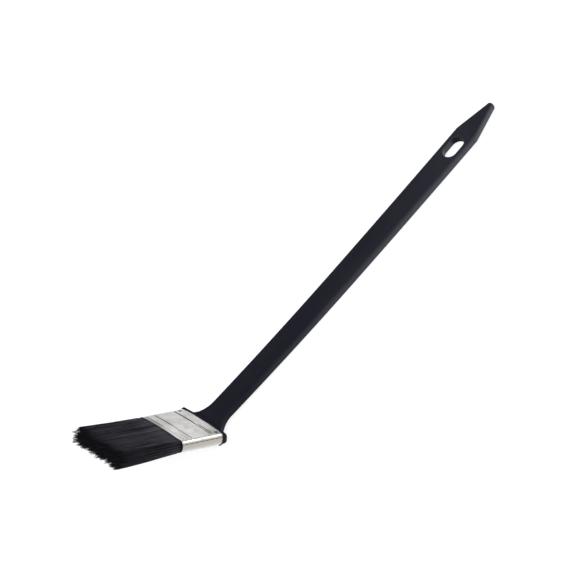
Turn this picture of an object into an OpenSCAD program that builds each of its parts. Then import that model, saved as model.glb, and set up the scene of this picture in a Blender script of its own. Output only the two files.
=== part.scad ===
// Angled radiator brush: flat bristle head on a long flat plastic handle.
// The handle lies along X on its flat back face, tip towards +X. The head is
// tilted up on the -X side. Y runs across the width. Millimetres.

/* [Handle] */
// Length of the handle, from the bend to the tip
handle_l = 336; // [250:1:420]
// Width of the grip at the bend
grip_w = 18.5; // [14:0.5:22]
// Width of the grip where the tip taper starts
end_w = 20.5; // [17:0.5:24]
// Thickness of the grip
grip_t = 7; // [6:0.5:9]
// Radius of the grip's long edges
edge_r = 1.5; // [1:0.25:2.5]
// Length of the tapered tip
taper_l = 32; // [20:1:45]
// Radius of the tip in plan
tip_r = 2.5; // [2.5:0.25:5]
// Angle between the handle and the head
head_tilt = 44; // [20:1:60]
// Inside radius of the bend
bend_r = 12; // [8:1:20]

/* [Hang slot] */
// Width of the slot
slot_w = 12.2; // [8:0.1:13]
// Length of the slot, end to end
slot_l = 20; // [16:1:40]
// Distance from the tip to the near end of the slot
slot_from_tip = 37.5; // [30:0.5:60]

/* [Neck and shoulder] */
// Distance from the bend to the back edge of the ferrule
neck_l = 11.5; // [11:0.5:25]
// Radius of the concave flare, seen from above
flare_r = 28; // [24:1:40]
// Reach of the flare, from the ferrule along the centre line
flare_reach = 28; // [26:0.5:32]
// Depth of the tang inside the ferrule
tang_l = 14; // [10:1:16]

/* [Ferrule] */
// Width of the ferrule, which is the size of the brush
head_w = 50; // [40:1:75]
// Thickness of the ferrule
head_t = 10; // [9:0.5:14]
// Length of the ferrule
ferrule_l = 41.5; // [40:0.5:50]
// Corner radius of the ferrule's cross-section
corner_r = 4; // [3:0.25:4.25]
// Thickness of the ferrule's wall, with the height of its beads
wall = 0.5; // [0.4:0.05:0.6]
// Width of each pressed bead
bead_w = 0.9; // [0.6:0.1:1.2]
// Depth of each pressed bead
bead_d = 0.25; // [0.1:0.05:0.3]

/* [Nails] */
// Shank diameter of the ferrule nails
nail_d = 1.1; // [0.8:0.1:1.4]
// Head diameter of the ferrule nails
nail_head_d = 2.2; // [1.8:0.1:3]
// Length of the nails under the head
nail_l = 4; // [3:0.1:4.2]
// Distance of the nails from the back edge of the ferrule
nail_inset = 4; // [3:0.1:5]
// Distance between the two nails of a face
nail_pitch = 40; // [30:1:40]

/* [Bristles] */
// Free length of the bristles, from the mouth of the ferrule
bristle_l = 66; // [45:1:75]
// Width of the bristle pad at its tips
tips_w = 51.5; // [49:0.5:53]
// Thickness of the bristle pad at its tips
tips_t = 12.4; // [9:0.2:13]
// Thickness of the spacer plug between the two banks
plug_t = 2.2; // [1.5:0.1:3]
// Length of the spacer plug
plug_l = 18; // [12:1:18]
// Width of the spacer plug
plug_w = 45; // [30:1:46]
// Length of the resin block that holds the roots
resin_l = 8; // [5:1:8]

/* [Hidden] */
$fn = 64;
eps = 0.01;

// the origin is on the back face, 150 from the bend, near the middle of the flat
bend_x = -150;
tip_x = bend_x + handle_l;

// rounding of the shoulder, half the ferrule's thickness, and of its ends in plan
shoulder_end_r = 2;

// cross-section inside the ferrule
in_w = head_w - 2 * wall;
in_t = head_t - 2 * wall;
in_r = corner_r - wall;

// distances from the bend along the head
tang_end = neck_l + tang_l;
resin_end = tang_end + resin_l;
mouth = neck_l + ferrule_l;
tips = mouth + bristle_l;
plug_start = tang_end + 3;

// the free bristles turn about a line just outside the mouth
pivot_out = 2;
pivot = mouth + pivot_out;
// gap between the turning bristles and all that stands still
flex_gap = 0.3;
pad_w = in_w - 2 * flex_gap;
pad_t = in_t - 2 * flex_gap;
pad_r = in_r - flex_gap;
// the reservoir between the banks closes at this distance from the pivot
reservoir_l = 40;

// places of the beads, from the back edge of the ferrule
beads = [7.2, 9.4, 28.8, 37];
// seam of the ferrule: a groove along one long corner, turned up from the narrow side
seam_w = 0.3;
seam_angle = 30;

// outline of a rectangle with round corners, centred
module round_rect(w, t, r) {
    square([w - 2 * r, t], center = true);
    square([w, t - 2 * r], center = true);
    for (x = [r - w / 2, w / 2 - r])
        for (y = [r - t / 2, t / 2 - r])
            translate([x, y])
                circle(r = r);
}

// X runs along the head from the bend, Z is the normal of its upper face
module in_head() {
    translate([bend_x, 0, grip_t / 2])
        rotate([0, -head_tilt, 180])
            children();
}

// extrudes an outline of the head's cross-section from one distance to another
module along_head(from, to) {
    translate([from, 0, 0])
        rotate([90, 0, 90])
            linear_extrude(height = to - from)
                children();
}

// extrudes a side view across the whole width
module across(w) {
    translate([0, w / 2, 0])
        rotate([90, 0, 0])
            linear_extrude(height = w)
                children();
}

// slab along X whose side at Y = 0 has rounded long edges; the rest lies at -Y
module edge_bar(length) {
    depth = length / 2;
    rotate([90, 0, 90])
        linear_extrude(height = length) {
            translate([-depth, 0])
                square([depth - edge_r, grip_t]);
            translate([-depth, edge_r])
                square([depth, grip_t - 2 * edge_r]);
            for (y = [edge_r, grip_t - edge_r])
                translate([-edge_r, y])
                    circle(r = edge_r);
        }
}

// flat grip with rounded edges and a tapered, rounded tip
module grip() {
    start = bend_x + flare_reach - neck_l - 1;
    taper_x = tip_x - taper_l;
    nose_x = tip_x - tip_r;
    // the tapered sides meet the round tip at a slight corner
    nose_w = 1.92 * tip_r;
    spread = atan((end_w - grip_w) / 2 / (taper_x - start));
    taper = atan((end_w - nose_w) / 2 / (nose_x - taper_x));
    intersection() {
        intersection_for(side = [0, 1])
            mirror([0, side, 0])
                translate([start, grip_w / 2, 0])
                    rotate([0, 0, spread])
                        translate([-handle_l / 2, 0, 0])
                            edge_bar(2 * handle_l);
        intersection_for(side = [0, 1])
            mirror([0, side, 0])
                translate([taper_x, end_w / 2, 0])
                    rotate([0, 0, -taper])
                        translate([-handle_l, 0, 0])
                            edge_bar(2 * handle_l);
        linear_extrude(height = grip_t) {
            translate([start, -end_w])
                square([nose_x - start, 2 * end_w]);
            translate([nose_x, 0])
                circle(r = tip_r);
        }
        across(2 * end_w) {
            translate([start, edge_r])
                square([tip_x - start, grip_t - 2 * edge_r]);
            translate([start, 0])
                square([tip_x - edge_r - start, grip_t]);
            for (z = [edge_r, grip_t - edge_r])
                translate([tip_x - edge_r, z])
                    circle(r = edge_r);
        }
    }
}

// side view of the neck: the end of the grip, the bend, and the plate to the ferrule
module neck_side() {
    middle_r = bend_r + grip_t / 2;
    tangent = middle_r * tan(head_tilt / 2);
    translate([bend_x + tangent, 0])
        square([flare_reach - neck_l - tangent + eps, grip_t]);
    translate([bend_x + tangent, grip_t + bend_r])
        difference() {
            intersection() {
                circle(r = bend_r + grip_t, $fn = 128);
                polygon([[0, 0], [0, -2 * middle_r],
                    2 * middle_r * [-tan(head_tilt), -1]]);
            }
            circle(r = bend_r, $fn = 128);
        }
    translate([bend_x, grip_t / 2])
        rotate(180 - head_tilt)
            translate([tangent - eps, -grip_t / 2])
                square([neck_l - tangent + eps, grip_t]);
}

// half width of the neck at a distance from the ferrule along the centre line
function flare(s) = grip_w / 2 + flare_r
    - sqrt(pow(flare_r, 2) - pow(min(flare_r, flare_reach - s), 2));

// plan view of that distance, shortened where the head is tilted
function plan_x(s) = bend_x + (s - neck_l) * (s < neck_l ? cos(head_tilt) : 1);

module neck_plan() {
    steps = 24;
    // the flare stops short of the shoulder's rounded ends
    widest = head_w / 2 - 1.25 * shoulder_end_r;
    s = [for (i = [0:steps]) flare_reach * i / steps];
    edge = [for (d = s) [plan_x(d), min(widest, flare(d))]];
    back = [for (i = [steps:-1:0]) [edge[i][0], -edge[i][1]]];
    polygon(concat(edge, back));
}

// half-round bar across the ferrule's back edge
module shoulder() {
    nose = head_t / 2;
    intersection() {
        across(head_w)
            translate([neck_l, 0])
                circle(r = nose);
        along_head(neck_l - nose, neck_l)
            round_rect(head_w, head_t, corner_r);
        translate([neck_l, 0, -nose])
            linear_extrude(height = head_t)
                round_rect(2 * nose, head_w, shoulder_end_r);
    }
}

module slot() {
    reach = slot_l / 2 - slot_w / 2;
    translate([tip_x - slot_from_tip - slot_l / 2, 0, 0]) {
        for (x = [-reach, reach])
            translate([x, 0, -1])
                cylinder(r = slot_w / 2, h = grip_t + 2);
        translate([-reach, -slot_w / 2, -1])
            cube([2 * reach, slot_w, grip_t + 2]);
    }
}

// places its children at each nail, with Z out of the ferrule's face
module at_nails() {
    for (turn = [0, 180])
        for (y = [-nail_pitch / 2, nail_pitch / 2])
            translate([neck_l + nail_inset, y, 0])
                rotate([turn, 0, 0])
                    translate([0, 0, head_t / 2])
                        children();
}

module nail_hole() {
    translate([0, 0, -nail_l])
        cylinder(d = nail_d, h = nail_l + 1, $fn = 32);
}

module handle() {
    color("#1c1d22")
        difference() {
            union() {
                grip();
                intersection() {
                    across(head_w)
                        neck_side();
                    linear_extrude(height = head_w)
                        neck_plan();
                }
                in_head() {
                    shoulder();
                    along_head(neck_l - eps, tang_end)
                        round_rect(in_w, in_t, in_r);
                }
            }
            slot();
            in_head()
                at_nails()
                    nail_hole();
        }
}

module ferrule() {
    face_w = head_w - 2 * corner_r;
    color("#d4d3cf")
        in_head()
            difference() {
                along_head(neck_l, mouth)
                    round_rect(head_w, head_t, corner_r);
                along_head(neck_l - 1, mouth + 1)
                    round_rect(in_w, in_t, in_r);
                for (x = beads)
                    for (z = [-head_t / 2 - bead_d, head_t / 2 - bead_d])
                        translate([neck_l + x - bead_w / 2, -face_w / 2, z])
                            cube([bead_w, face_w, 2 * bead_d]);
                translate([neck_l - 1, head_w / 2 - corner_r, head_t / 2 - corner_r])
                    rotate([seam_angle, 0, 0])
                        translate([0, corner_r - bead_d, 0])
                            cube([ferrule_l + 2, 1, seam_w]);
                at_nails()
                    nail_hole();
            }
}

module ferrule_nails() {
    head_h = 0.4;
    color("#8d8a84")
        in_head()
            at_nails() {
                translate([0, 0, -nail_l])
                    cylinder(d = nail_d, h = nail_l, $fn = 32);
                cylinder(d = nail_head_d, h = head_h, $fn = 32);
            }
}

// strip between the banks, set into the resin block
module plug_shape() {
    translate([plug_start, -plug_w / 2, -plug_t / 2])
        cube([plug_l, plug_w, plug_t]);
}

module spacer_plug() {
    color("#8a7a5c")
        in_head()
            plug_shape();
}

module resin_block() {
    color("#b98b3e")
        in_head()
            difference() {
                along_head(tang_end, resin_end)
                    round_rect(in_w, in_t, in_r);
                plug_shape();
            }
}

// roots of one bank, hollowed in front where the free bristles turn
module roots(side) {
    in_head()
        intersection() {
            difference() {
                along_head(resin_end, mouth)
                    round_rect(in_w, in_t, in_r);
                across(head_w)
                    translate([pivot, 0])
                        circle(r = in_t / 2);
            }
            mirror([0, 0, side])
                translate([0, -head_w / 2, plug_t / 2])
                    cube([mouth, head_w, head_t]);
        }
}

module upper_bristle_roots() {
    color("#24242c")
        roots(0);
}

module lower_bristle_roots() {
    color("#24242c")
        roots(1);
}

// outer shape of the free bristles, round about the pivot and spread at the tips
module pad() {
    hull() {
        translate([pivot, 0, 0])
            rotate([90, 0, 0])
                rotate_extrude($fn = 40)
                    intersection() {
                        round_rect(pad_t, pad_w, pad_r, $fn = 24);
                        translate([0, -pad_w / 2])
                            square([pad_t, pad_w]);
                    }
        along_head(tips - eps, tips)
            round_rect(tips_w, tips_t, corner_r, $fn = 24);
    }
}

// one bank of free bristles, on its side of the reservoir
module bank(side) {
    closed = pivot + reservoir_l;
    in_head()
        intersection() {
            pad();
            mirror([0, 0, side])
                across(tips_w + 1)
                    polygon([[mouth - pad_t, plug_t / 2], [pivot, plug_t / 2], [closed, 0],
                        [tips + 1, 0], [tips + 1, tips_t], [mouth - pad_t, tips_t]]);
        }
}

module upper_bristles() {
    color("#1f1f29")
        bank(0);
}

module lower_bristles() {
    color("#1f1f29")
        bank(1);
}

handle();
ferrule();
ferrule_nails();
resin_block();
spacer_plug();
upper_bristle_roots();
lower_bristle_roots();
upper_bristles();
lower_bristles();
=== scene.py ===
"""Looks of the angled radiator brush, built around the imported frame.

Lengths are millimetres until they reach a mesh. The head has its own axes:
u along the bristles from the bend, v across towards the side with the seam
(-Y), and w out of the upper face.
"""
import math

import bmesh
import bpy
import numpy as np
from mathutils import Matrix, Vector


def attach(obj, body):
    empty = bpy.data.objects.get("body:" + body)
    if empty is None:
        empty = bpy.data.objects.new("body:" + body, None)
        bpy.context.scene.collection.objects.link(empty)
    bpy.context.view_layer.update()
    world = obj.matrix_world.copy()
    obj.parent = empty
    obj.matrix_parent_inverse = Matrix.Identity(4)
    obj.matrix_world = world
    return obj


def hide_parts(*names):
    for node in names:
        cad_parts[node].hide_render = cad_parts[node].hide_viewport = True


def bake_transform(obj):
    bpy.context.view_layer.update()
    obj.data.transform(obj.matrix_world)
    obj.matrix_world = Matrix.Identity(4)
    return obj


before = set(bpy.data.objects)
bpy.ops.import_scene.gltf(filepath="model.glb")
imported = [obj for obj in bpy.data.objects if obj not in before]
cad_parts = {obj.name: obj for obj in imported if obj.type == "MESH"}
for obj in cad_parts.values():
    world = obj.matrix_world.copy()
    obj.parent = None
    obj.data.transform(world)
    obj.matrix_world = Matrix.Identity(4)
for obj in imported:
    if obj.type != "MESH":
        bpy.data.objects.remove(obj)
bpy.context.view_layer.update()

MM = 0.001
SEED = 11
rng = np.random.default_rng(SEED)

# the CAD's own sizes: handle
HANDLE_L, GRIP_W, END_W, GRIP_T = 336, 18.5, 20.5, 7
EDGE_R, TAPER_L, TIP_R = 1.5, 32, 2.5
TILT = math.radians(44)
BEND_X = -150
SLOT_W, SLOT_L, SLOT_FROM_TIP = 12.2, 20, 37.5
NECK_L, FLARE_R, FLARE_REACH, TANG_L = 11.5, 28, 28, 14
SHOULDER_END_R = 2
# ferrule, its seam in degrees round the corner, and nails
HEAD_W, HEAD_T, FERRULE_L, CORNER_R, WALL = 50, 10, 41.5, 4, 0.5
BEAD_D = 0.25
SEAM = 30
NAIL_D, NAIL_HEAD_D, NAIL_L, NAIL_INSET, NAIL_PITCH = 1.1, 2.2, 4, 4, 40
# bristles and what holds them
BRISTLE_L, TIPS_W, TIPS_T, PLUG_T, PLUG_W = 66, 51.5, 12.4, 2.2, 45
PIVOT_OUT, RESERVOIR_L, RESIN_L = 2, 40, 8

TIP_X = BEND_X + HANDLE_L
SLOT_X = TIP_X - SLOT_FROM_TIP - SLOT_L / 2
MOUTH = NECK_L + FERRULE_L
PIVOT = MOUTH + PIVOT_OUT
TIPS = MOUTH + BRISTLE_L
RESIN_END = NECK_L + TANG_L + RESIN_L
FLAT_W = HEAD_W - 2 * CORNER_R

# The photo shows where the real brush strays from the CAD's straight lines.
# The handle is bowed: its middle lies lower than its ends.
BOW_X, BOW_DEPTH, BOW_TO_NECK, BOW_TO_TIP = 10, 1.45, 1.9e-4, 6.6e-5
BEND_REACH = 5.4
# Its shoulder is prouder and higher, its flare tighter, its taper slimmer, and
# the thickness of its tip is rounded off over a length.
PROUD, RAISED, RAISED_LESS_ON_TOP = 0.7, 0.6, 0.3
TIGHTER, SLIMMER, NOSE_SHARE, NOSE_L = 1.8, 0.3, 0.9, 2.6
# The ferrule's wide faces are domed by what they hold, most a little off the
# middle, and its back edge is askew.
DOME, DOME_LEAN, DOME_AT_MOUTH = 0.75, 0.35, 0.05
SKEW, SKEW_SLOPE = 1, 0.055


# ---------------------------------------------------------------- geometry
def head(u, v, w):
    """Points in the head's axes as points of the frame, in millimetres."""
    u, v, w = np.broadcast_arrays(*(np.asarray(a, float) for a in (u, v, w)))
    x = BEND_X - math.cos(TILT) * u + math.sin(TILT) * w
    z = GRIP_T / 2 + math.sin(TILT) * u + math.cos(TILT) * w
    return np.stack([x, -v, z], -1)


def bowed(x):
    """Height of the grip's centre line at a place along X."""
    rise = np.where(x < BOW_X, BOW_TO_NECK, BOW_TO_TIP) * (x - BOW_X) ** 2
    return GRIP_T / 2 - BOW_DEPTH + rise


def centre_line(step=0.1, margin=8):
    """The handle's centre line, from inside the ferrule to beyond the tip.

    The head's straight line and the bowed grip meet in a corner, which a curve
    rounds off. Gives the distances from the ferrule, X, Z and the slope at
    points along the line.
    """
    x = np.arange(BEND_X - margin, TIP_X + margin, step)
    above_head_line = bowed(x) - GRIP_T / 2 - (BEND_X - x) * math.tan(TILT)
    corner_x = float(np.interp(0, above_head_line, x))
    corner_u = (BEND_X - corner_x) / math.cos(TILT)
    grip = x[x > corner_x + BEND_REACH]
    corner = np.array([corner_x, float(bowed(corner_x))])
    before = head(corner_u + BEND_REACH, 0, 0)[[0, 2]]
    after = np.array([grip[0], float(bowed(grip[0]))])
    t = np.linspace(0, 1, 61)[:, None]
    bend = (1 - t) ** 2 * before + 2 * t * (1 - t) * corner + t ** 2 * after
    inside = TANG_L + 2
    straight = np.arange(NECK_L + inside, corner_u + BEND_REACH + step, -5 * step)
    plate = head(straight, 0, 0)[:, [0, 2]]
    line = np.concatenate([plate, bend, np.stack([grip[1:], bowed(grip[1:])], 1)])
    lengths = np.hypot(*np.diff(line, axis=0).T)
    a = np.concatenate([[0], np.cumsum(lengths)]) - inside
    dx, dz = np.gradient(line, a, axis=0).T
    return a, line[:, 0], line[:, 1], np.arctan2(-dz, dx)


LINE_A, LINE_X, LINE_Z, LINE_TURN = centre_line()


def along(a, v, w):
    """Points at a distance a from the ferrule along the handle's centre line."""
    a, v, w = np.broadcast_arrays(*(np.asarray(b, float) for b in (a, v, w)))
    turn = np.interp(a, LINE_A, LINE_TURN)
    x = np.interp(a, LINE_A, LINE_X) + w * np.sin(turn)
    z = np.interp(a, LINE_A, LINE_Z) + w * np.cos(turn)
    return np.stack([x, -v, z], -1)


def dome(v, u=0):
    """Height of the ferrule's wide faces over the CAD's flat ones.

    v is the place across, and u the distance from the ferrule's back edge.
    """
    t = np.clip(v / (FLAT_W / 2), -1, 1)
    growth = 1 + DOME_AT_MOUTH * np.clip(u / FERRULE_L, 0, 1) ** 2
    return DOME * (1 - t * t) * (1 - DOME_LEAN * t) * growth


def skew(v):
    """How far the ferrule's back edge, and the shoulder behind it, stand behind the CAD's."""
    return SKEW - SKEW_SLOPE * v


def smooth_max(a, b, k):
    """The larger of a and b, with a fillet of about k where they cross."""
    h = np.clip(0.5 + 0.5 * (a - b) / k, 0, 1)
    return b + (a - b) * h + k * h * (1 - h)


def smooth_step(x, start, end):
    """0 before the start, 1 after the end and an even S between them."""
    t = np.clip((x - start) / (end - start), 0, 1)
    return t * t * (3 - 2 * t)


def bell(d, width):
    """1 at a distance of 0, fading away over the width."""
    return np.exp(-(d / width) ** 2)


def make_piece(name, points, faces, material, sharp=None):
    """A smooth-shaded mesh object from points in millimetres.

    Edges of more than sharp degrees stay hard.
    """
    mesh = bpy.data.meshes.new(name)
    mesh.from_pydata((np.asarray(points) * MM).tolist(), [], faces)
    mesh.validate()
    mesh.materials.append(material)
    obj = bpy.data.objects.new(name, mesh)
    bpy.context.scene.collection.objects.link(obj)
    mesh.polygons.foreach_set("use_smooth", [True] * len(mesh.polygons))
    if sharp:
        mesh.set_sharp_from_angle(angle=math.radians(sharp))
    return obj


def fix_normals(obj):
    """Turns every face outwards."""
    bm = bmesh.new()
    bm.from_mesh(obj.data)
    bmesh.ops.recalc_face_normals(bm, faces=bm.faces)
    bm.to_mesh(obj.data)
    bm.free()


def add_attribute(obj, name, values):
    """One number per point, for the material to read."""
    layer = obj.data.attributes.new(name, "FLOAT", "POINT")
    layer.data.foreach_set("value", np.asarray(values, np.float32))


def loft(rings, wrap=False):
    """Points and quads of a surface through closed rings, on to the first again if it wraps."""
    rings = np.asarray(rings, float)
    rows, n = rings.shape[:2]
    quads = []
    for i in range(rows if wrap else rows - 1):
        row, after = i * n, (i + 1) % rows * n
        quads += [(row + j, row + (j + 1) % n, after + (j + 1) % n, after + j) for j in range(n)]
    return rings.reshape(-1, 3), quads


# --------------------------------------------------------------- materials
def new_material(name, **sockets):
    """A node material with these constants on its Principled shader.

    Renders use a socket's link where it has one; the export of a linked
    specular level falls back on the constant.
    """
    material = bpy.data.materials.new(name)
    material.use_nodes = True
    shader = material.node_tree.nodes["Principled BSDF"]
    for socket, value in sockets.items():
        shader.inputs[socket.replace("_", " ")].default_value = value
    return material


class Paint:
    """Adds nodes to a material. Textures run in millimetres of the piece."""

    def __init__(self, material):
        self.tree = material.node_tree
        self.shader = self.tree.nodes["Principled BSDF"]
        self.place = self.node("ShaderNodeTexCoord").outputs["Object"]

    def node(self, kind, **settings):
        """A new node with these settings."""
        made = self.tree.nodes.new(kind)
        for key, value in settings.items():
            setattr(made, key, value)
        return made

    def join(self, value, socket):
        """Links an output, or sets a number, on an input."""
        if isinstance(value, bpy.types.NodeSocket):
            self.tree.links.new(value, socket)
        else:
            socket.default_value = value

    def axis(self, name):
        """Place along one of the frame's axes, in metres."""
        parts = self.node("ShaderNodeSeparateXYZ")
        self.join(self.place, parts.inputs[0])
        return parts.outputs[name]

    def attribute(self, name):
        """A number that the mesh holds at its points."""
        return self.node("ShaderNodeAttribute", attribute_name=name).outputs["Fac"]

    def noise(self, size, detail=2.0, rough=0.5, stretch=(1, 1, 1), distort=0.0):
        """Noise with features of this size in millimetres, longer where stretched."""
        scaled = self.node("ShaderNodeMapping")
        self.join(self.place, scaled.inputs["Vector"])
        scaled.inputs["Scale"].default_value = [1 / (MM * size * s) for s in stretch]
        made = self.node("ShaderNodeTexNoise")
        self.join(scaled.outputs[0], made.inputs["Vector"])
        made.inputs["Scale"].default_value = 1
        made.inputs["Detail"].default_value = detail
        made.inputs["Roughness"].default_value = rough
        made.inputs["Distortion"].default_value = distort
        return made.outputs["Fac"]

    def range(self, value, low, high, start=0.3, end=0.7):
        """From low to high while the value goes from start to end."""
        made = self.node("ShaderNodeMapRange")
        for socket, v in zip(made.inputs, (value, start, end, low, high)):
            self.join(v, socket)
        return made.outputs["Result"]

    def math(self, operation, a, b):
        """Sum, maximum and the like of two values."""
        made = self.node("ShaderNodeMath", operation=operation)
        self.join(a, made.inputs[0])
        self.join(b, made.inputs[1])
        return made.outputs[0]

    def mix(self, share, a, b):
        """From colour a to colour b as the share goes from 0 to 1."""
        made = self.node("ShaderNodeMix", data_type="RGBA")
        self.join(share, made.inputs["Factor"])
        for value, socket in ((a, made.inputs[6]), (b, made.inputs[7])):
            self.join(value if isinstance(value, bpy.types.NodeSocket) else (*value, 1), socket)
        return made.outputs[2]

    def bump(self, *layers):
        """Layers of (height, depth in millimetres), one on top of the other."""
        normal = None
        for height, depth in layers:
            made = self.node("ShaderNodeBump")
            made.inputs["Distance"].default_value = depth * MM
            self.join(height, made.inputs["Height"])
            if normal:
                self.join(normal, made.inputs["Normal"])
            normal = made.outputs[0]
        self.join(normal, self.shader.inputs["Normal"])

    def set(self, socket, value):
        """Links an output, or sets a number, on the shader's input."""
        self.join(value, self.shader.inputs[socket])


def handle_plastic():
    """Satin black moulding: cloudy, fine-grained, rubbed along its length, glossier to the tip."""
    made = new_material("handle_plastic", IOR=1.5, Specular_Tint=(0.84, 0.92, 1, 1),
                        Specular_IOR_Level=0.25)
    p = Paint(made)
    cloud = p.noise(28, 3, stretch=(3, 1, 1))
    grain = p.noise(0.35, 2)
    rub = p.noise(5, 4, stretch=(6, 1, 1), distort=0.4)
    plastic = p.mix(p.range(cloud, 0, 1), (0.0145, 0.0152, 0.0225), (0.0215, 0.0222, 0.0325))
    # painted shade: the slot's wall towards the tip is darkened to near black and loses its gloss
    shade = p.attribute("shade")
    p.set("Base Color", p.mix(shade, plastic, (0.004, 0.004, 0.006)))
    p.set("Roughness", p.range(p.math("ADD", rub, cloud), 0.34, 0.5, 0.7, 1.3))
    gloss = p.range(p.axis("X"), 0.01, 0.46, -0.12, 0.15)
    p.set("Specular IOR Level", p.range(shade, gloss, 0.02, 0, 1))
    p.bump((cloud, 0.12), (p.noise(7, 2, stretch=(2, 1, 1)), 0.025), (grain, 0.006))
    return made


def tinplate():
    """Bright tin with stains and crinkles, and painted shade on its narrow sides, lines and far
    half.
    """
    made = new_material("tinplate", Metallic=1.0)
    p = Paint(made)
    stain = p.noise(9, 4, 0.6)
    streak = p.noise(0.25, 3, stretch=(1, 30, 1))
    crinkle = p.noise(2.6, 3, 0.6, distort=0.6)
    blotch = p.math("ADD", stain, p.noise(1.3, 3, 0.65))
    bright = p.mix(p.range(blotch, 0, 1, 0.75, 1.25), (0.77, 0.762, 0.745), (0.565, 0.555, 0.535))
    # painted shade: the narrow sides are painted a darker beige
    side_shaded = p.mix(p.attribute("side_shade"), bright, (0.43, 0.405, 0.365))
    # painted shade: darker along the beads and the seam, round the nails, over the far half and by
    # the mouth
    p.set("Base Color", p.mix(p.attribute("painted_shade"), side_shaded, (0.13, 0.115, 0.1)))
    p.set("Roughness", p.range(p.math("ADD", streak, stain), 0.2, 0.38, 0.7, 1.3))
    p.bump((crinkle, 0.12), (p.noise(0.9, 2), 0.035), (streak, 0.003))
    return made


def nail_steel():
    """Dull steel with specks of rust."""
    made = new_material("nail_steel", Metallic=1.0)
    p = Paint(made)
    rust = p.noise(0.5, 4, 0.7)
    specks = p.range(rust, 0, 1, 0.45, 0.7)
    p.set("Base Color", p.mix(specks, (0.3, 0.29, 0.28), (0.12, 0.085, 0.06)))
    p.set("Roughness", p.range(rust, 0.3, 0.7))
    p.bump((rust, 0.02))
    return made


def resin():
    """Cast amber resin with a slightly wavy face."""
    made = new_material("resin", IOR=1.55, Coat_Weight=0.3)
    p = Paint(made)
    cloud = p.noise(3, 3)
    p.set("Base Color", p.mix(p.range(cloud, 0, 1), (0.36, 0.19, 0.045), (0.5, 0.31, 0.1)))
    p.set("Roughness", p.range(cloud, 0.15, 0.3))
    p.bump((p.noise(1.2, 2), 0.04))
    return made


def plug_wood():
    """Sawn softwood with its grain across the brush."""
    made = new_material("plug_wood")
    p = Paint(made)
    grain = p.noise(0.5, 4, 0.6, stretch=(1, 24, 1), distort=0.8)
    p.set("Base Color", p.mix(p.range(grain, 0, 1), (0.46, 0.33, 0.19), (0.3, 0.19, 0.095)))
    p.set("Roughness", p.range(grain, 0.55, 0.8))
    p.bump((grain, 0.06))
    return made


def filament():
    """Dark synthetic filaments, each of its own tone, with painted shade at their tips and at the
    mouth.
    """
    made = new_material("bristle_filament", IOR=1.5, Specular_IOR_Level=0.3)
    p = Paint(made)
    tone, reach = p.attribute("tone"), p.attribute("reach")
    colour = p.mix(tone, (0.0045, 0.0045, 0.0075), (0.042, 0.041, 0.062))
    # painted shade over the last of each filament's length and at the mouth
    ends = p.math("MAXIMUM", p.range(reach, 0, 1, 0.93, 1), p.attribute("mouth_shade"))
    p.set("Base Color", p.mix(ends, colour, (0.0025, 0.0026, 0.0042)))
    p.set("Roughness", p.range(tone, 0.62, 0.42, 0, 1))
    p.set("Specular IOR Level", p.range(ends, p.range(tone, 0.14, 0.5, 0, 1), 0.1, 0, 1))
    return made


HANDLE, TIN, NAIL, RESIN, WOOD, FILAMENT = (
    make() for make in (handle_plastic, tinplate, nail_steel, resin, plug_wood, filament))
for name, material in (("resin_block", RESIN), ("spacer_plug", WOOD)):
    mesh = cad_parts[name].data
    mesh.materials.clear()
    mesh.materials.append(material)


# ------------------------------------------------------------------ handle
FLAT_STEPS, CORNER_STEPS, SIDE_STEPS = 20, 6, 4
HALF_RING = FLAT_STEPS + 2 * CORNER_STEPS + SIDE_STEPS
RING = 2 * HALF_RING
# the handle's rings stand close up to the end of the shoulder, and less close along the neck
SHOULDER_RINGS_TO, NECK_RINGS_TO = 7, 36
# half the length of the slot's patch, its number of rings, and the radius of the slot's rim
SLOT_REACH, SLOT_RINGS, SLOT_RIM = 12.5, 40, 0.7
TAPER_FILLET, SHOULDER_FILLET, STEP_FILLET = 0.5, 0.7, 0.9
# how far the tang stays clear of the ferrule's wall
TANG_GAP = 0.02


def section(h, t, r):
    """Ring of a rectangle 2h by 2t with corner radius r, from the top face's far end."""
    r = min(r, h, t)
    flat = np.linspace(-1, 1, FLAT_STEPS + 1)
    arc = np.linspace(0, math.pi / 2, CORNER_STEPS + 1)
    side = np.linspace(1, -1, SIDE_STEPS + 1)
    half = [(x * (h - r), t) for x in flat]
    half += [(h - r + r * math.sin(a), t - r + r * math.cos(a)) for a in arc[1:]]
    half += [(h, x * (t - r)) for x in side[1:]]
    half += [(h - r + r * math.cos(a), r - t - r * math.sin(a)) for a in arc[1:]]
    half = np.array(half[:HALF_RING])
    return np.concatenate([half, -half])


def grip_half(x):
    """Half width of the grip at a place along X: a bar that widens, a taper and a round nose."""
    start_x = BEND_X + FLARE_REACH - NECK_L - 1
    taper_x, nose_x = TIP_X - TAPER_L, TIP_X - TIP_R
    bar = np.interp(x, [start_x, taper_x], [GRIP_W / 2, END_W / 2])
    taper = np.interp(x, [taper_x, nose_x], [END_W / 2 - SLIMMER, NOSE_SHARE * TIP_R])
    nose = np.sqrt(np.clip(TIP_R ** 2 - np.clip(x - nose_x, 0, TIP_R) ** 2, 0, None))
    slimmest = -smooth_max(-bar, -taper, TAPER_FILLET)
    return np.minimum(slimmest, np.where(x > nose_x, nose, END_W))


def neck_half(s):
    """Half width of the flaring neck at a distance s from the ferrule."""
    reach = np.clip(FLARE_REACH - TIGHTER - s, 0, FLARE_R)
    flare = GRIP_W / 2 + FLARE_R - np.sqrt(FLARE_R ** 2 - reach ** 2)
    return np.minimum(flare, HEAD_W / 2 - 1.25 * SHOULDER_END_R)


def shoulder_half(s):
    """Half width of the shoulder, with rounded back corners, and 0 behind it."""
    round_from = HEAD_T / 2 - SHOULDER_END_R
    past = np.clip(s - round_from, 0, None)
    corner = np.sqrt(np.clip(SHOULDER_END_R ** 2 - past ** 2, 0, None))
    return np.where(s < HEAD_T / 2, HEAD_W / 2 + PROUD / 2 - SHOULDER_END_R + corner, 0)


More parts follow.
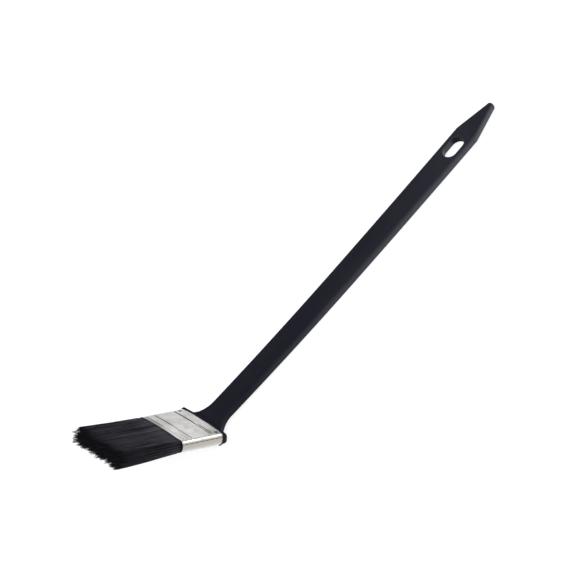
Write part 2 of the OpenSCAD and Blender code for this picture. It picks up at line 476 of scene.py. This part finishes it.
def half_width(s):
    """Half width of the handle at a distance s from the ferrule along the sharp centre line."""
    neck = neck_half(s)
    front = smooth_max(shoulder_half(s), neck, SHOULDER_FILLET)
    rest = np.maximum(grip_half(s + BEND_X - NECK_L), np.where(s < FLARE_REACH, neck, 0))
    return np.where(s < 8, front, rest)


def half_thickness(s, to_tip):
    """Half thickness at a distance s from the ferrule: a bull-nosed shoulder, then a flat bar."""
    nose = HEAD_T / 2 + PROUD
    shoulder = np.sqrt(np.clip(nose ** 2 - s ** 2, 0, None))
    t = smooth_max(shoulder, np.full_like(s, GRIP_T / 2), STEP_FILLET)
    t = np.where(s < 0.01, nose, t)
    left = np.clip(to_tip / NOSE_L, 0, 1)
    return t * np.sqrt(np.maximum(1 - (1 - left) ** 2, 0.02))


def handle_stations():
    """Distances of the handle's rings from the ferrule, and the number of the slot's first."""
    first, last, nose = (float(np.interp(x, LINE_X, LINE_A)) for x in (
        SLOT_X - SLOT_REACH, SLOT_X + SLOT_REACH, TIP_X - TIP_R))
    stations = np.concatenate([
        np.linspace(0, SHOULDER_RINGS_TO, 33),
        np.linspace(SHOULDER_RINGS_TO, NECK_RINGS_TO, 51)[1:],
        np.linspace(NECK_RINGS_TO, first, 41)[1:],
        np.linspace(first, last, SLOT_RINGS + 1)[1:], np.linspace(last, nose, 33)[1:],
        nose + TIP_R * np.sin(np.linspace(0, math.pi / 2 - 0.02, 17))[1:]])
    return stations, int(np.argmin(abs(stations - first)))


def handle_rings(stations):
    """Two rings round the tang, then a ring at each station."""
    grip_s = np.interp(stations, LINE_A, LINE_X) - BEND_X + NECK_L
    s = stations + (grip_s - stations) * smooth_step(stations, 2, 24)
    to_tip = float(np.interp(TIP_X, LINE_X, LINE_A)) - stations
    radius = EDGE_R + (CORNER_R - EDGE_R) * (1 - smooth_step(s, 0.5, 5.5))
    clear = WALL + TANG_GAP
    v, w = section(HEAD_W / 2 - clear, HEAD_T / 2 - clear, CORNER_R - WALL).T
    rings = [along(-TANG_L, v, w), along(skew(v), v, w)]
    for a, *size in zip(stations, half_width(s), half_thickness(s, to_tip), radius):
        v, w = section(*size).T
        domed = (1 - smooth_step(a, 1, 7)) * smooth_step(abs(w), 0, size[1])
        w = w + np.sign(w) * dome(v) * domed
        raised = smooth_step(a, 0, 1) * (1 - smooth_step(a, 3, 9))
        w = w + (RAISED - RAISED_LESS_ON_TOP * np.sign(w)) * raised
        rings.append(along(a + skew(v) * (1 - smooth_step(a, 0, 8)), v, w))
    return rings


def slot_radius(aim, radius):
    """Distance from the slot's centre to its outline along an aim, for a slot of end radius."""
    half = (SLOT_L - SLOT_W) / 2
    dx, dy = abs(aim[0]), abs(aim[1])
    if dy > 1e-9 and dx * radius / dy <= half:
        return radius / dy
    return dx * half + math.sqrt((dx * half) ** 2 - half ** 2 + radius ** 2)


def slot_border(first, last, left, right):
    """Loop of ring points round the slot's patch on one face, between two rings and columns."""
    cols = list(range(left, right + 1) if right > left else range(left, right - 1, -1))
    return ([first * RING + c for c in cols]
            + [i * RING + cols[-1] for i in range(first + 1, last)]
            + [last * RING + c for c in reversed(cols)]
            + [i * RING + cols[0] for i in range(last - 1, first, -1)])


def cut_slot(points, faces, first):
    """The handle's points and faces with the slot cut through, and a painted shade for each point.

    A patch is left out of both faces, and loops of points lead from its border
    over the rounded rims and through the slot. The painted shade darkens the
    slot's wall towards the handle's tip, below its upper edge.
    """
    last = first + SLOT_RINGS
    flat = {*range(FLAT_STEPS), *range(HALF_RING, HALF_RING + FLAT_STEPS)}
    faces = [f for f in faces if not (first <= f[0] // RING < last and f[0] % RING in flat)]
    points = points.tolist()
    shade = [0.0] * len(points)
    upper = slot_border(first, last, 0, FLAT_STEPS)
    lower = slot_border(first, last, HALF_RING + FLAT_STEPS, HALF_RING)
    aims = np.array([points[i][:2] for i in upper]) - (SLOT_X, 0)
    aims /= np.hypot(*aims.T)[:, None]
    arc = np.linspace(0, math.pi / 2, 6)
    rims = [(SLOT_RIM * (1 - math.sin(a)), GRIP_T - SLOT_RIM * (1 - math.cos(a))) for a in arc]
    rims += [(off, GRIP_T - z) for off, z in reversed(rims)]
    loops = [upper]
    for off, z in rims:
        x, y = np.array([aim * slot_radius(aim, SLOT_W / 2 + off) for aim in aims]).T
        loops.append(list(range(len(points), len(points) + len(aims))))
        lift = bowed(SLOT_X + x) - GRIP_T / 2
        points += np.stack([SLOT_X + x, y, z + lift], 1).tolist()
        shade += (smooth_step(aims[:, 0], 0.2, 0.75) * smooth_step(GRIP_T - z, 0, 1)).tolist()
    loops.append(lower)
    n = len(upper)
    for one, two in zip(loops, loops[1:]):
        faces += [(one[j], one[(j + 1) % n], two[(j + 1) % n], two[j]) for j in range(n)]
    return points, faces, shade


def build_handle():
    """The whole moulding as one closed surface."""
    stations, slot_start = handle_stations()
    rings = handle_rings(stations)
    points, faces = loft(rings)
    faces.append(tuple(range(RING)))
    faces.append(tuple(reversed(range(len(points) - RING, len(points)))))
    tang_rings = len(rings) - len(stations)
    points, faces, shade = cut_slot(points, faces, tang_rings + slot_start)
    obj = make_piece("handle_body", points, faces, HANDLE, sharp=50)
    fix_normals(obj)
    add_attribute(obj, "shade", shade)
    weighted = obj.modifiers.new("weighted_normals", "WEIGHTED_NORMAL")
    weighted.keep_sharp = True
    return obj


handle = build_handle()
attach(handle, "handle_and_ferrule")
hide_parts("handle")


# ----------------------------------------------------------------- ferrule
NAILS = [(v, side) for side in (1, -1) for v in (-NAIL_PITCH / 2, NAIL_PITCH / 2)]
# slow waves of the tin: rates along and across, phase and height
WAVES = [(rng.uniform(0.06, 0.35, 2) * rng.choice([-1, 1], 2), rng.uniform(0, 6.28),
          rng.uniform(0.02, 0.045)) for _ in range(9)]
# the beads' distances from the back edge, where the face is not domed
REAR_TWIN, REAR_BEAD, FRONT_BEAD, FRONT_TWIN, MOUTH_BEAD, LIP_BEAD = 7.5, 9.1, 29.8, 33.5, 37.9, 39.9
# how far they curve towards the mouth for each millimetre of dome
REAR_BOW, FRONT_BOW = 1.1, 0.8
# places with closer rows of points, where beads run
BEAD_ROWS = (7.8, 9.4, 10.6, 30.2, 34, 38.2, 39.9)
LAP, SEAM_DEPTH, NAIL_DENT = 0.2, 0.1, 0.16
# how far the rear of the tin stands out or lies in, at distances from the back edge
BAND_AT, BAND_LIFT = (0, 6.5, 13), (0.21, -0.17, 0)


def bead_lines(x, v):
    """Depth of the pressed beads at distances x from the back edge, as a share of BEAD_D.

    The press has bitten unevenly: the beads are deep on the far half of the
    face, and fainter, shifted and partly doubled on the near half.
    """
    near, end = smooth_step(v, -2, 7), smooth_step(v, 9, 20)
    rear, front = x - REAR_BOW * dome(v), x - FRONT_BOW * dome(v)
    front_depth = 0.85 - 0.5 * near - 0.3 * bell(v - 1, 3) + 0.4 * end
    mouth_depth = 0.55 - 0.3 * near - 0.25 * bell(v, 3)
    return (bell(rear - REAR_BEAD - near, 0.5) * (1.15 - 0.65 * near)
            + bell(rear - REAR_TWIN - 0.5 * end, 0.42) * 0.75 * smooth_step(v, 3, 7)
            + bell(front - FRONT_BEAD - 0.3 * near, 0.5) * front_depth
            + bell(front - FRONT_TWIN, 0.5) * 0.45 * end
            + bell(front - MOUTH_BEAD, 0.75) * mouth_depth
            + bell(x - LIP_BEAD, 0.45) * 0.4 * (1 - near))


def ferrule_outline():
    """Points, normals and turns round the ferrule's cross-section, closer at the seam's edge."""
    w, t = FLAT_W / 2, HEAD_T / 2 - CORNER_R
    arc = np.linspace(0, 90, 13)
    near_top = sorted({*arc, *(SEAM + d for d in (-5, -3, -1.5, 1.5, 3, 5))}, reverse=True)
    loop = [(v, t, 90) for v in np.linspace(-w, w, 91)[:-1]]
    loop += [(w, t, a) for a in near_top]
    loop += [(w, x, 0) for x in np.linspace(t, -t, 5)[1:-1]]
    loop += [(w, -t, -a) for a in arc]
    loop += [(v, -t, -90) for v in np.linspace(w, -w, 91)[1:-1]]
    loop += [(-w, -t, -90 - a) for a in arc]
    loop += [(-w, x, 180) for x in np.linspace(-t, t, 5)[1:-1]]
    loop += [(-w, t, 180 - a) for a in arc[:-1]]
    centre = np.array([p[:2] for p in loop], float)
    turn = np.array([p[2] for p in loop], float)
    normal = np.stack([np.cos(np.radians(turn)), np.sin(np.radians(turn))], 1)
    return centre + CORNER_R * normal, normal, turn


class Sheet:
    """The ferrule's tin, as rings round the brush with two painted shades for each point."""

    def __init__(self):
        self.outline, self.normal, turn = ferrule_outline()
        self.v, w = self.outline.T
        self.side = np.sign(w)
        self.face = 1 - smooth_step(abs(self.v), FLAT_W / 2 - 1, FLAT_W / 2 + 0.5)
        over = (self.v > 0) & (turn > SEAM - 0.1)
        self.lap = np.where(over, smooth_step(self.v, FLAT_W / 2 - 7, FLAT_W / 2 + 1), 0) * LAP
        self.seam_line = np.where(self.v > 0, bell(turn - SEAM + 4, 5), 0)
        narrow = smooth_step(abs(self.v), HEAD_W / 2 - 1.2, HEAD_W / 2 - 0.1)
        # painted shade on the narrow sides, fading out towards their lower edges
        self.narrow = narrow * smooth_step(w, -5, 0.5)
        self.rings, self.painted_shade = [], []

    def add(self, x, offset, shade_paint):
        """A ring at a distance x from the back edge, moved out by an offset."""
        rise = np.stack([0 * self.v, self.side * dome(self.v, x) * self.face], 1)
        u = NECK_L + x - skew(self.v) * (1 - smooth_step(x, 0, 3))
        self.rings.append(head(u, *(self.outline + self.normal * offset[:, None] + rise).T))
        self.painted_shade.append(shade_paint)

    def add_outside(self, x):
        """A ring of the outer face, with its beads, lap, nail dents, waves and painted shade."""
        v, face = self.v, self.face
        lines = face * bead_lines(x, v)
        jagged = 1 + 0.6 * math.sin(2.1 * x) * math.sin(0.9 * x + 1) + 0.3 * math.sin(5.3 * x + 2)
        # painted shade along the beads and the seam, and over the far half of the face
        shade_paint = lines + 1.2 * self.seam_line * jagged + 0.3 * face * smooth_step(-v, -12, 12)
        lift = np.interp(x, BAND_AT, BAND_LIFT) * (0.3 + 0.7 * smooth_step(v, -6, 8))
        offset = self.lap - BEAD_D * lines - SEAM_DEPTH * self.seam_line + face * lift
        for nail_v, nail_side in NAILS:
            d = np.hypot(x - NAIL_INSET, v - nail_v)
            # painted shade in a ring round each nail head, and a wider darker patch round the near
            # ones
            nail_darkening = 0.6 * bell(d - 1.15, 0.4) + 0.35 * bell(d, 2.2) * (nail_v > 0)
            offset -= np.where(self.side == nail_side, NAIL_DENT * bell(d, 1.3), 0)
            shade_paint += np.where(self.side == nail_side, nail_darkening, 0)
        for (along_x, across), phase, height in WAVES:
            offset += face * height * np.sin(along_x * x + across * v + phase)
        by_mouth = smooth_step(x, FERRULE_L - 4, FERRULE_L - 2.4)
        # painted shade over the far half of the face by the mouth
        shade_paint += 0.2 * face * by_mouth * smooth_step(-v, 0, 5)
        self.add(x, offset, np.clip(shade_paint, 0, 1))

    def add_lip(self, x, a):
        """A ring of a rounded lip, at an angle a round it from the outer face."""
        offset = self.lap * (math.cos(a) > 0) - WALL / 2 + WALL / 2 * math.cos(a)
        self.add(x, offset, 0.5 * self.seam_line)


def ferrule_rows():
    """Distances of the outer rings from the back edge, closer at the beads and the nails."""
    rows = set(np.round(np.linspace(0.25, FERRULE_L - 0.25, 90), 3))
    for place in BEAD_ROWS:
        rows |= set(np.round(place + np.linspace(-1.2, 1.2, 17), 3))
    rows |= set(np.round(NAIL_INSET + np.linspace(-2, 2, 13), 3))
    return sorted(rows)


def build_ferrule():
    """The tin as one closed surface: outside, mouth lip, inside and back lip."""
    sheet = Sheet()
    for x in ferrule_rows():
        sheet.add_outside(x)
    half, half_turn = WALL / 2, np.linspace(0, math.pi, 7)[1:]
    for a in half_turn:
        sheet.add_lip(FERRULE_L - half + half * math.sin(a), a)
    for x in np.linspace(FERRULE_L - 1, 1, 8):
        sheet.add(x, np.full_like(sheet.v, -WALL), 0 * sheet.v)
    for a in reversed(half_turn):
        sheet.add_lip(half - half * math.sin(a), a)
    points, quads = loft(sheet.rings, wrap=True)
    obj = make_piece("ferrule_shell", points, quads, TIN, sharp=60)
    fix_normals(obj)
    add_attribute(obj, "painted_shade", np.concatenate(sheet.painted_shade))
    add_attribute(obj, "side_shade", np.tile(sheet.narrow, len(sheet.rings)))
    return obj


ferrule = build_ferrule()
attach(ferrule, "handle_and_ferrule")
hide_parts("ferrule")


def build_nails(sides=24):
    """Nails with a low domed head, each hammered a little unevenly."""
    outline = [(0.0, 0.3), (0.35, 0.29), (0.7, 0.22), (0.95, 0.1), (NAIL_HEAD_D / 2, -0.05),
               (NAIL_HEAD_D / 2 - 0.12, -0.14), (NAIL_D / 2, -0.16),
               (NAIL_D / 2, -NAIL_L + 0.8), (0.04, -NAIL_L)]
    turns = np.linspace(0, 2 * math.pi, sides, endpoint=False)
    points, faces = [], []
    for nail_v, side in NAILS:
        lean = rng.uniform(-0.06, 0.06, 2)
        rings = []
        for radius, z in outline:
            in_head = z > -0.2
            wobble = 1 + 0.04 * np.sin(2 * turns + rng.uniform(0, 6)) * in_head
            v, u = radius * wobble * np.cos(turns), radius * wobble * np.sin(turns)
            up = HEAD_T / 2 + dome(nail_v) - 0.1 + z + (lean[0] * v + lean[1] * u) * in_head
            rings.append(head(NECK_L + NAIL_INSET + u, nail_v + v, side * up))
        ring_points, quads = loft(rings)
        base, end = len(points), len(points) + len(ring_points)
        points += ring_points.tolist()
        faces += [tuple(base + i for i in quad) for quad in quads]
        faces.append(tuple(end - 1 - i for i in range(sides)))
        faces.append(tuple(base + i for i in range(sides)))
    obj = make_piece("nail_heads", points, faces, NAIL, sharp=50)
    fix_normals(obj)
    return obj


nails = build_nails()
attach(nails, "handle_and_ferrule")
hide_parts("ferrule_nails")


# ---------------------------------------------------------------- bristles
PER_BANK, TUFTS, STRANDS = 3150, 300, 1400
ROOT_R, TIP_FILAMENT_R = 0.135, 0.085
# shares of a filament's length at which it has a ring of three points
RING_SHARES = np.array([0, 0.15, 0.2, 0.24, 0.29, 0.35, 0.46, 0.59, 0.73, 0.87, 1.0])
# the radius of the bristle pad's rounded corners, inside the ferrule's wall
PAD_CORNER = CORNER_R - WALL
# the pad's gap to the ferrule's wall, and how much it swells past the mouth, over a length
PAD_GAP, SWELL, SWELL_L = 0.15, 0.35, 5
# filaments end this far before the pad's end, more or less by chance and within these
# limits; then the cut at the far corner, and the lower bank's extra on the near side
SHORT_BY, SHORTEST, LONGEST, FAR_CUT, NEAR_SPREAD = 0.8, 9, 2.2, 5, 1.2


def pad_half(u):
    """Half width and half thickness of the pad at a distance u from the bend."""
    out = np.clip((u - MOUTH) / BRISTLE_L, 0, 1)
    belly = np.clip((u - MOUTH) / SWELL_L, 0, 1)
    inner_w, inner_t = HEAD_W / 2 - WALL - PAD_GAP, HEAD_T / 2 - WALL - PAD_GAP
    swell = belly * (2 - belly) * SWELL
    return (inner_w + swell + (TIPS_W / 2 - inner_w - SWELL) * out,
            inner_t + swell + (TIPS_T / 2 - inner_t - SWELL) * out)


def gather(p, q, number):
    """Places of some random bundles, and the bundle that each filament is nearest to."""
    bundle_p, bundle_q = rng.uniform(-1, 1, number), rng.uniform(0, 1, number)
    apart = ((p[:, None] - bundle_p) * 25) ** 2 + ((q[:, None] - bundle_q) * 5) ** 2
    return bundle_p, bundle_q, np.argmin(apart, 1)


class Bank:
    """The filaments of one bank, on the upper (1) or the lower (-1) side.

    Filaments stand at p, -1 to 1 across, and q, 0 at the middle of the pad to 1
    at its face. Neighbours form strands, and then tufts, which draw together
    towards their tips.
    """

    def __init__(self, side):
        n = PER_BANK
        self.side = side
        self.p = rng.uniform(-1, 1, n)
        even = (np.argsort(np.argsort(rng.uniform(0, 1, n))) + 0.5) / n
        self.q = np.clip(even, 0.01, 0.995)
        self.q[: n // 4] = 1 - 0.12 * rng.uniform(0, 1, n // 4) ** 1.5
        tuft_p, tuft_q, tuft = gather(self.p, self.q, TUFTS)
        _, _, strand = gather(self.p, self.q, STRANDS)
        self.to_tuft_p = tuft_p[tuft] - self.p
        self.to_tuft_q = (tuft_q[tuft] - self.q) * (self.q < 0.9)
        tuft_shift = rng.normal(0, 1, (TUFTS, 2)) * (0.9, 0.3)
        own_shift = rng.normal(0, 1, (n, 2)) * (0.5, 0.25)
        stray = np.where(rng.uniform(0, 1, n) < 0.02, 3, 1)
        self.shift = tuft_shift[tuft] + own_shift * stray[:, None]
        self.length = self.draw_lengths(tuft)
        self.own_tone = (rng.normal(0.4, 0.12, n) + rng.normal(0, 0.12, TUFTS)[tuft]
                         + rng.normal(0, 0.22, STRANDS)[strand])
        self.relief = (rng.uniform(0, 0.75, TUFTS)[tuft] ** 2
                       + rng.uniform(0, 0.8, STRANDS)[strand] ** 2)
        self.swing = rng.uniform(0, 6.28, (STRANDS, 2))[strand]
        self.ripple, self.phase = rng.normal(0, 0.09, (n, 2)), rng.uniform(0, 6.28, (n, 2))
        self.angles = rng.uniform(0, 2.1, n)[:, None] + np.array([0, 2.0944, 4.1888])

    def draw_lengths(self, tuft):
        """Where each filament ends: uneven, some short, and cut back at the far side's corner."""
        n = PER_BANK
        length = TIPS - SHORT_BY + rng.normal(0, 1.05, TUFTS)[tuft] + rng.normal(0, 0.8, n)
        length -= 3.5 * rng.uniform(0, 1, n) ** 6
        length = np.clip(length, TIPS - SHORTEST, TIPS + LONGEST)
        cut = FAR_CUT * (self.q if self.side > 0 else 0.4) - 0.4
        return length - cut * smooth_step(-self.p, 0.74, 1)

    def paint(self, u, out):
        """Tone and painted shade of all filaments at distances u from the bend."""
        streak = np.sin(13 * out + self.swing[:, 0]) * np.sin(5 * out + self.swing[:, 1])
        tone = self.own_tone + 0.25 * (1 - smooth_step(out, 0.05, 0.3)) + 0.25 * streak
        by_mouth = 1 - smooth_step(u, MOUTH + 1, MOUTH + 5)
        # painted shade at the mouth, reaching a few millimetres further out at the pad's narrow ends
        corner = smooth_step(abs(self.p), 0.9, 0.98) * by_mouth
        mouth_shade = np.maximum(corner, 1 - smooth_step(u, MOUTH - 0.5, MOUTH + 1.2))
        return np.clip(tone, 0, 1), mouth_shade

    def middle(self, u, out):
        """Places v and w of the filaments' middles at distances u from the bend."""
        half_w, half_t = pad_half(u)
        pull = 0.25 * out ** 2 + 0.5 * out ** 6
        v = (self.p + self.to_tuft_p * pull) * half_w
        q = self.q + self.to_tuft_q * pull
        if self.side < 0:
            half_t = half_t + NEAR_SPREAD * smooth_step(out, 0, 0.6) * smooth_step(v, 5, 22)
        over = np.clip(abs(v) - (half_w - PAD_CORNER), 0, PAD_CORNER)
        top = half_t - PAD_CORNER + np.sqrt(np.clip(PAD_CORNER ** 2 - over ** 2, 0, None))
        top = top + dome(v, FERRULE_L) * (1 - 0.75 * out) - self.relief * smooth_step(out, 0.02, 0.3)
        open_to = 1 - smooth_step(u, PIVOT, PIVOT + RESERVOIR_L)
        gap = PLUG_T / 2 * open_to * (1 - smooth_step(abs(v), PLUG_W / 2 - 3, PLUG_W / 2))
        w = gap + q * np.maximum(top - gap, 0.05)
        wave = np.sin(np.stack([9 * out, 8 * out], 1) + self.phase) * self.ripple * out[:, None]
        v = v + out ** 2 * self.shift[:, 0] + wave[:, 0]
        w = w + out ** 2 * self.shift[:, 1] * 0.8 + wave[:, 1]
        limit = half_w + 0.35
        return np.clip(v, -limit, limit), np.minimum(w, np.maximum(top + 0.35, 0.2))

    def ring(self, share):
        """Points, tones and painted shade of all filaments at a share of their lengths."""
        u = RESIN_END + share * (self.length - RESIN_END)
        out = np.clip((u - MOUTH) / BRISTLE_L, 0, 1.05)
        v, w = self.middle(u, out)
        radius = ROOT_R + (TIP_FILAMENT_R - ROOT_R) * share
        radius = radius * (0.45 if share == 1 else 1)
        points = head(u[:, None], v[:, None] + radius * np.cos(self.angles),
                      self.side * (w[:, None] + radius * np.sin(self.angles)))
        return points, *self.paint(u, out)


def filament_faces(flip):
    """Quads along every filament of a bank, and a triangle that closes each tip."""
    rings = len(RING_SHARES)
    starts = np.arange(PER_BANK) * rings * 3
    rows = (np.arange(rings - 1) * 3)[None, :, None]
    base = starts[:, None, None] + rows
    quads = [np.concatenate([base + a, base + b, base + 3 + b, base + 3 + a], 2).reshape(-1, 4)
             for a, b in ((0, 1), (1, 2), (2, 0))]
    quads = np.concatenate(quads)
    caps = starts[:, None] + (rings - 1) * 3 + np.array([0, 1, 2])
    way = -1 if flip else 1
    return quads[:, ::way].tolist() + caps[:, ::way].tolist()


def build_bank(name, side):
    """One bank as one mesh, with its filaments' tones, painted shade and reach."""
    bank = Bank(side)
    points, tones, mouth_shades = (np.stack(part, 1) for part in zip(*map(bank.ring, RING_SHARES)))
    obj = make_piece(name, points.reshape(-1, 3), filament_faces(side < 0), FILAMENT)
    reach = np.tile(RING_SHARES, (PER_BANK, 1))
    for key, values in (("tone", tones), ("mouth_shade", mouth_shades), ("reach", reach)):
        add_attribute(obj, key, np.repeat(values.reshape(-1), 3))
    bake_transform(obj)
    return obj


for bank, side in (("upper", 1), ("lower", -1)):
    made = build_bank(f"{bank}_bank_filaments", side)
    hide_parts(f"{bank}_bristles", f"{bank}_bristle_roots")


# ------------------------------------------------- floor, lights and camera
# the floor lies just under the bowed handle
FLOOR_Z, FLOOR_REACH = -2, 6000
# the photo's viewing angle in degrees, and its distance and target in metres
AZIMUTH, ELEVATION, ROLL = -112.2, 47.9, -31.7
TARGET, DISTANCE = (-0.0391, -0.0012, 0.0404), 3.333
LENS, SENSOR = 275.7, 36
WHITE = (1, 1, 1, 1)


def build_floor():
    """A pale floor that glows a little, so that it stays as white as the photo's ground."""
    made = new_material("pale_floor", Roughness=0.9, Emission_Color=WHITE, Emission_Strength=0.8)
    p = Paint(made)
    p.set("Base Color", p.mix(p.noise(400, 2), (0.44, 0.44, 0.44), (0.46, 0.46, 0.46)))
    corners = [(x * FLOOR_REACH, y * FLOOR_REACH, FLOOR_Z)
               for x, y in ((-1, -1), (1, -1), (1, 1), (-1, 1))]
    make_piece("floor", corners, [(0, 1, 2, 3)], made)


def direction(azimuth, elevation):
    """Unit vector from the brush towards an azimuth about Z and an elevation, in degrees."""
    a, e = math.radians(azimuth), math.radians(elevation)
    return Vector((math.cos(a) * math.cos(e), math.sin(a) * math.cos(e), math.sin(e)))


def soft_light(name, azimuth, elevation, distance, size, power):
    """A square soft box that faces the middle of the brush."""
    data = bpy.data.lights.new(name, "AREA")
    data.shape, data.size, data.energy = "SQUARE", size, power
    obj = bpy.data.objects.new(name, data)
    way = direction(azimuth, elevation)
    obj.location = way * distance
    obj.rotation_euler = way.to_track_quat("Z", "Y").to_euler()
    bpy.context.scene.collection.objects.link(obj)


def build_world(strength):
    """Even white light from all sides."""
    world = bpy.data.worlds.new("studio")
    world.use_nodes = True
    sky = world.node_tree.nodes["Background"]
    sky.inputs["Color"].default_value = WHITE
    sky.inputs["Strength"].default_value = strength
    bpy.context.scene.world = world


def build_camera():
    """A long lens at the photo's viewing angle."""
    back, roll = direction(AZIMUTH, ELEVATION), math.radians(ROLL)
    right = Vector((0, 0, 1)).cross(back).normalized()
    up = back.cross(right)
    axes = Matrix((right * math.cos(roll) + up * math.sin(roll),
                   up * math.cos(roll) - right * math.sin(roll), back)).transposed()
    camera = bpy.data.objects.new("camera", bpy.data.cameras.new("camera"))
    camera.data.lens, camera.data.sensor_width = LENS, SENSOR
    camera.data.clip_end = 100
    camera.matrix_world = Matrix.Translation(Vector(TARGET) + back * DISTANCE) @ axes.to_4x4()
    bpy.context.scene.collection.objects.link(camera)
    bpy.context.scene.camera = camera


build_floor()
build_camera()
soft_light("overhead", azimuth=-150, elevation=62, distance=2.2, size=1.8, power=31)
soft_light("front", azimuth=-60, elevation=35, distance=2.4, size=1.4, power=12)
soft_light("tip_card", azimuth=-12, elevation=10, distance=1.8, size=0.7, power=6.5)
build_world(strength=0.17)
bpy.context.scene.view_settings.view_transform = "Standard"
